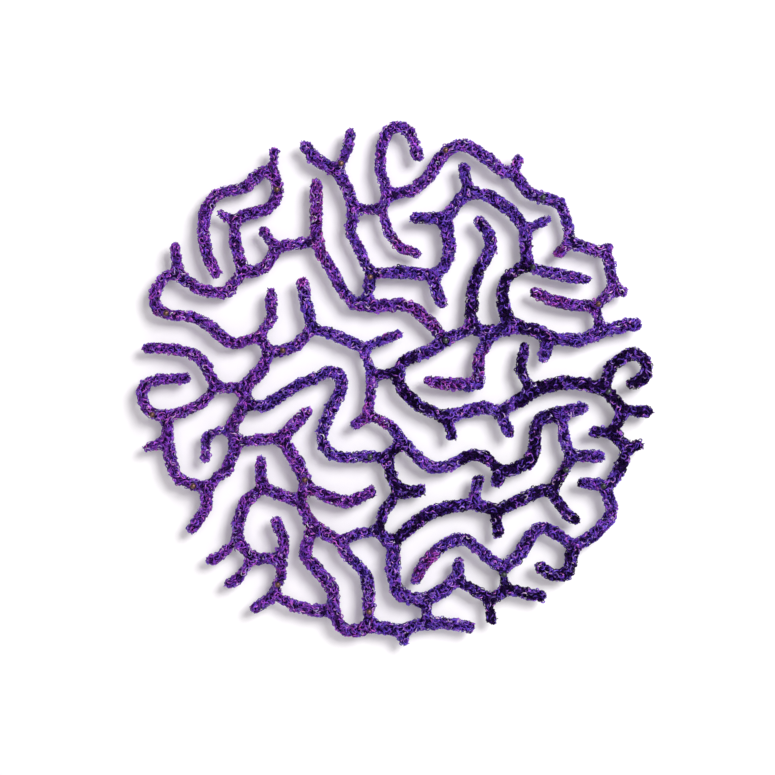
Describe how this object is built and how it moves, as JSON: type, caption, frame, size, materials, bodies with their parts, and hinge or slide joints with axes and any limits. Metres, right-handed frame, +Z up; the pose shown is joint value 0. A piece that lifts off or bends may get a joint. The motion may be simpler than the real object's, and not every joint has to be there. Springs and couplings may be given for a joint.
{
  "type": "brain coral wall sculpture of stitched thread",
  "caption": "Round, open wall sculpture of stitched thread strands that wind like the ridges of a brain coral, held off the wall on ball-headed pins.",
  "frame": {"origin": "on the wall's surface, straight behind the centre of the disc", "axes": "+Y into the wall, +Z up, +X to the right as one looks at the front; the disc faces -Y"},
  "size_m": [0.2579, 0.03, 0.2622],
  "materials": {
    "plum": "satin embroidery thread in plum, stitched into an open lace strand",
    "purple": "satin embroidery thread in purple, stitched into an open lace strand",
    "violet": "satin embroidery thread in blue violet, stitched into an open lace strand",
    "ink": "satin embroidery thread in black violet, stitched into an open lace strand",
    "magenta": "satin embroidery thread in red violet, stitched into an open lace strand",
    "pin_bronze": "polished bronze plating",
    "pin_grey": "dark gunmetal plating"
  },
  "bodies": {
    "root": {"northwest_wing": "plum", "northwest_bar": "plum", "west_meander": "plum", "west_arch": "purple", "inner_north_sweep": "magenta", "north_stem": "purple", "north_hook": "purple", "northeast_rim": "purple", "east_rim": "purple", "inner_north_bridge": "violet", "northeast_ring": "violet", "east_bar": "violet", "inner_east_post": "ink", "inner_east_foot": "magenta", "centre_curve": "ink", "east_zigzag": "ink", "east_curl": "ink", "southeast_hook": "purple", "southeast_wave": "violet", "southeast_fork": "ink", "south_stem": "violet", "southeast_bar": "ink", "south_inner_wave": "purple", "inner_southeast_arch": "ink", "inner_southeast_leg": "violet", "centre_south_wave": "violet", "centre_stem": "purple", "inner_west_meander": "violet", "centre_south_stem": "ink", "southwest_bar": "plum", "south_rim": "plum", "inner_southwest_stem": "plum", "inner_west_stem": "plum", "west_spur": "plum", "west_hook": "plum", "southwest_rim": "plum", "southwest_arch": "plum", "southwest_post": "plum", "pin_bronze_01": "pin_bronze", "pin_bronze_02": "pin_bronze", "pin_bronze_03": "pin_bronze", "pin_bronze_04": "pin_bronze", "pin_bronze_05": "pin_bronze", "pin_bronze_06": "pin_bronze", "pin_bronze_07": "pin_bronze", "pin_bronze_08": "pin_bronze", "pin_bronze_09": "pin_bronze", "pin_bronze_10": "pin_bronze", "pin_bronze_11": "pin_bronze", "pin_bronze_12": "pin_bronze", "pin_grey_01": "pin_grey", "pin_grey_02": "pin_grey", "pin_grey_03": "pin_grey", "pin_grey_04": "pin_grey", "pin_grey_05": "pin_grey", "pin_grey_06": "pin_grey", "pin_grey_07": "pin_grey", "pin_grey_08": "pin_grey"}
  },
  "joints": []
}
